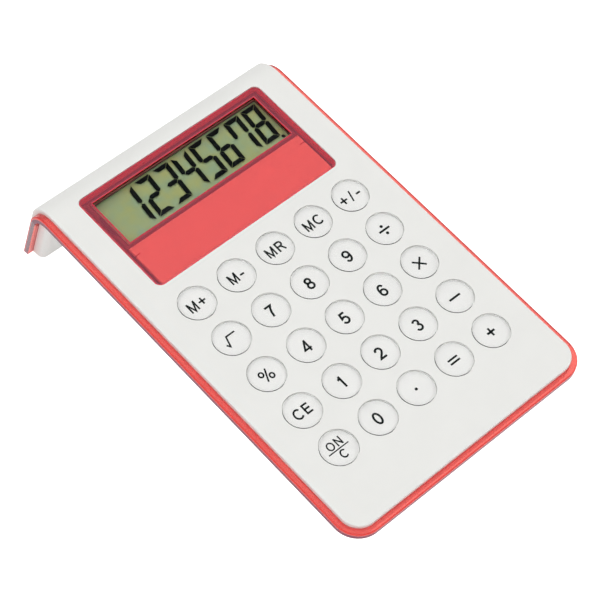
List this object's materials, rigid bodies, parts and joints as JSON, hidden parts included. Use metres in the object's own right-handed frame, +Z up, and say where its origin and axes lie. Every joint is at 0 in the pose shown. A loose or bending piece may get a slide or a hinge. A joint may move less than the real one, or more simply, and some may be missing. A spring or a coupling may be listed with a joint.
{
  "type": "desktop calculator",
  "caption": "Tilted desktop calculator: round clear keys and a display window in a white shell over a tinted plate that bends down at the rear into a leg.",
  "frame": {"origin": "on the table, under the middle of the whole calculator's box", "axes": "+X to the reader's right across the keypad, +Y to the rear, where the leg is, +Z up from the table"},
  "size_m": [0.1048, 0.1682, 0.0306],
  "materials": {
    "cover_white": "satin moulded plastic",
    "tint_red": "polished see-through red acrylic",
    "case_white": "satin moulded plastic",
    "lens_red": "polished see-through red acrylic",
    "panel_white": "matt sheet",
    "pane_clear": "clear polished sheet",
    "holder_dark": "matt moulded plastic",
    "lcd_glass": "clear glass",
    "lcd_film": "grey-green reflective film",
    "lcd_black": "dark liquid crystal segments",
    "zebra_rubber": "striped silicone",
    "board_green": "solder resist",
    "resin_black": "cured resin",
    "chip_tan": "ceramic chips",
    "keypad_rubber": "matt silicone",
    "cell_steel": "nickel-plated steel",
    "contact_gold": "plated spring brass",
    "screw_steel": "zinc-plated steel",
    "foot_rubber": "matt rubber",
    "key_clear": "clear polished cap over white",
    "key_white": "white moulded plastic",
    "legend_black": "printed ink"
  },
  "bodies": {
    "body": {"top_cover": "cover_white", "tinted_plate": "tint_red", "back_case": "case_white", "display_lens": "lens_red", "lens_panel": "panel_white", "lcd_pane": "pane_clear", "lcd_holder": "holder_dark", "lcd_front_glass": "lcd_glass", "lcd_rear_glass": "lcd_glass", "lcd_reflector": "lcd_film", "lcd_connector": "zebra_rubber", "circuit_board": "board_green", "chip_blob": "resin_black", "chip_parts": "chip_tan", "rubber_keypad": "keypad_rubber", "button_cell": "cell_steel", "cell_contact_minus": "contact_gold", "cell_contact_plus": "contact_gold", "case_screws": "screw_steel", "board_screws": "screw_steel", "front_feet": "foot_rubber", "leg_feet": "foot_rubber"},
    "battery_cap": {"battery_cap": "case_white"},
    "key_m_plus": {"key_m_plus": "key_clear"},
    "key_m_minus": {"key_m_minus": "key_clear"},
    "key_m_recall": {"key_m_recall": "key_clear"},
    "key_m_clear": {"key_m_clear": "key_clear"},
    "key_sign": {"key_sign": "key_clear"},
    "key_root": {"key_root": "key_clear"},
    "key_7": {"key_7": "key_clear"},
    "key_8": {"key_8": "key_clear"},
    "key_9": {"key_9": "key_clear"},
    "key_divide": {"key_divide": "key_clear"},
    "key_percent": {"key_percent": "key_clear"},
    "key_4": {"key_4": "key_clear"},
    "key_5": {"key_5": "key_clear"},
    "key_6": {"key_6": "key_clear"},
    "key_multiply": {"key_multiply": "key_clear"},
    "key_clear_entry": {"key_clear_entry": "key_clear"},
    "key_1": {"key_1": "key_clear"},
    "key_2": {"key_2": "key_clear"},
    "key_3": {"key_3": "key_clear"},
    "key_minus": {"key_minus": "key_clear"},
    "key_on_clear": {"key_on_clear": "key_clear"},
    "key_0": {"key_0": "key_clear"},
    "key_point": {"key_point": "key_clear"},
    "key_equals": {"key_equals": "key_clear"},
    "key_plus": {"key_plus": "key_clear"}
  },
  "joints": [
    {"name": "press_m_plus", "type": "slide", "parent": "body", "child": "key_m_plus", "axis": [0, 0.1444, -0.9895], "range_m": [0, 0.0008], "stiffness_N_per_m": 600, "deforming": ["rubber_keypad"]},
    {"name": "press_m_minus", "type": "slide", "parent": "body", "child": "key_m_minus", "axis": [0, 0.1444, -0.9895], "range_m": [0, 0.0008], "stiffness_N_per_m": 600, "deforming": ["rubber_keypad"]},
    {"name": "press_m_recall", "type": "slide", "parent": "body", "child": "key_m_recall", "axis": [0, 0.1444, -0.9895], "range_m": [0, 0.0008], "stiffness_N_per_m": 600, "deforming": ["rubber_keypad"]},
    {"name": "press_m_clear", "type": "slide", "parent": "body", "child": "key_m_clear", "axis": [0, 0.1444, -0.9895], "range_m": [0, 0.0008], "stiffness_N_per_m": 600, "deforming": ["rubber_keypad"]},
    {"name": "press_sign", "type": "slide", "parent": "body", "child": "key_sign", "axis": [0, 0.1444, -0.9895], "range_m": [0, 0.0008], "stiffness_N_per_m": 600, "deforming": ["rubber_keypad"]},
    {"name": "press_root", "type": "slide", "parent": "body", "child": "key_root", "axis": [0, 0.1444, -0.9895], "range_m": [0, 0.0008], "stiffness_N_per_m": 600, "deforming": ["rubber_keypad"]},
    {"name": "press_7", "type": "slide", "parent": "body", "child": "key_7", "axis": [0, 0.1444, -0.9895], "range_m": [0, 0.0008], "stiffness_N_per_m": 600, "deforming": ["rubber_keypad"]},
    {"name": "press_8", "type": "slide", "parent": "body", "child": "key_8", "axis": [0, 0.1444, -0.9895], "range_m": [0, 0.0008], "stiffness_N_per_m": 600, "deforming": ["rubber_keypad"]},
    {"name": "press_9", "type": "slide", "parent": "body", "child": "key_9", "axis": [0, 0.1444, -0.9895], "range_m": [0, 0.0008], "stiffness_N_per_m": 600, "deforming": ["rubber_keypad"]},
    {"name": "press_divide", "type": "slide", "parent": "body", "child": "key_divide", "axis": [0, 0.1444, -0.9895], "range_m": [0, 0.0008], "stiffness_N_per_m": 600, "deforming": ["rubber_keypad"]},
    {"name": "press_percent", "type": "slide", "parent": "body", "child": "key_percent", "axis": [0, 0.1444, -0.9895], "range_m": [0, 0.0008], "stiffness_N_per_m": 600, "deforming": ["rubber_keypad"]},
    {"name": "press_4", "type": "slide", "parent": "body", "child": "key_4", "axis": [0, 0.1444, -0.9895], "range_m": [0, 0.0008], "stiffness_N_per_m": 600, "deforming": ["rubber_keypad"]},
    {"name": "press_5", "type": "slide", "parent": "body", "child": "key_5", "axis": [0, 0.1444, -0.9895], "range_m": [0, 0.0008], "stiffness_N_per_m": 600, "deforming": ["rubber_keypad"]},
    {"name": "press_6", "type": "slide", "parent": "body", "child": "key_6", "axis": [0, 0.1444, -0.9895], "range_m": [0, 0.0008], "stiffness_N_per_m": 600, "deforming": ["rubber_keypad"]},
    {"name": "press_multiply", "type": "slide", "parent": "body", "child": "key_multiply", "axis": [0, 0.1444, -0.9895], "range_m": [0, 0.0008], "stiffness_N_per_m": 600, "deforming": ["rubber_keypad"]},
    {"name": "press_clear_entry", "type": "slide", "parent": "body", "child": "key_clear_entry", "axis": [0, 0.1444, -0.9895], "range_m": [0, 0.0008], "stiffness_N_per_m": 600, "deforming": ["rubber_keypad"]},
    {"name": "press_1", "type": "slide", "parent": "body", "child": "key_1", "axis": [0, 0.1444, -0.9895], "range_m": [0, 0.0008], "stiffness_N_per_m": 600, "deforming": ["rubber_keypad"]},
    {"name": "press_2", "type": "slide", "parent": "body", "child": "key_2", "axis": [0, 0.1444, -0.9895], "range_m": [0, 0.0008], "stiffness_N_per_m": 600, "deforming": ["rubber_keypad"]},
    {"name": "press_3", "type": "slide", "parent": "body", "child": "key_3", "axis": [0, 0.1444, -0.9895], "range_m": [0, 0.0008], "stiffness_N_per_m": 600, "deforming": ["rubber_keypad"]},
    {"name": "press_minus", "type": "slide", "parent": "body", "child": "key_minus", "axis": [0, 0.1444, -0.9895], "range_m": [0, 0.0008], "stiffness_N_per_m": 600, "deforming": ["rubber_keypad"]},
    {"name": "press_on_clear", "type": "slide", "parent": "body", "child": "key_on_clear", "axis": [0, 0.1444, -0.9895], "range_m": [0, 0.0008], "stiffness_N_per_m": 600, "deforming": ["rubber_keypad"]},
    {"name": "press_0", "type": "slide", "parent": "body", "child": "key_0", "axis": [0, 0.1444, -0.9895], "range_m": [0, 0.0008], "stiffness_N_per_m": 600, "deforming": ["rubber_keypad"]},
    {"name": "press_point", "type": "slide", "parent": "body", "child": "key_point", "axis": [0, 0.1444, -0.9895], "range_m": [0, 0.0008], "stiffness_N_per_m": 600, "deforming": ["rubber_keypad"]},
    {"name": "press_equals", "type": "slide", "parent": "body", "child": "key_equals", "axis": [0, 0.1444, -0.9895], "range_m": [0, 0.0008], "stiffness_N_per_m": 600, "deforming": ["rubber_keypad"]},
    {"name": "press_plus", "type": "slide", "parent": "body", "child": "key_plus", "axis": [0, 0.1444, -0.9895], "range_m": [0, 0.0008], "stiffness_N_per_m": 600, "deforming": ["rubber_keypad"]},
    {"name": "turn_battery_cap", "type": "hinge", "parent": "body", "child": "battery_cap", "pos_m": [-0.024, 0.03119, 0.01634], "axis": [0, 0.1444, -0.9895], "range_deg": [0, 60]}
  ]
}
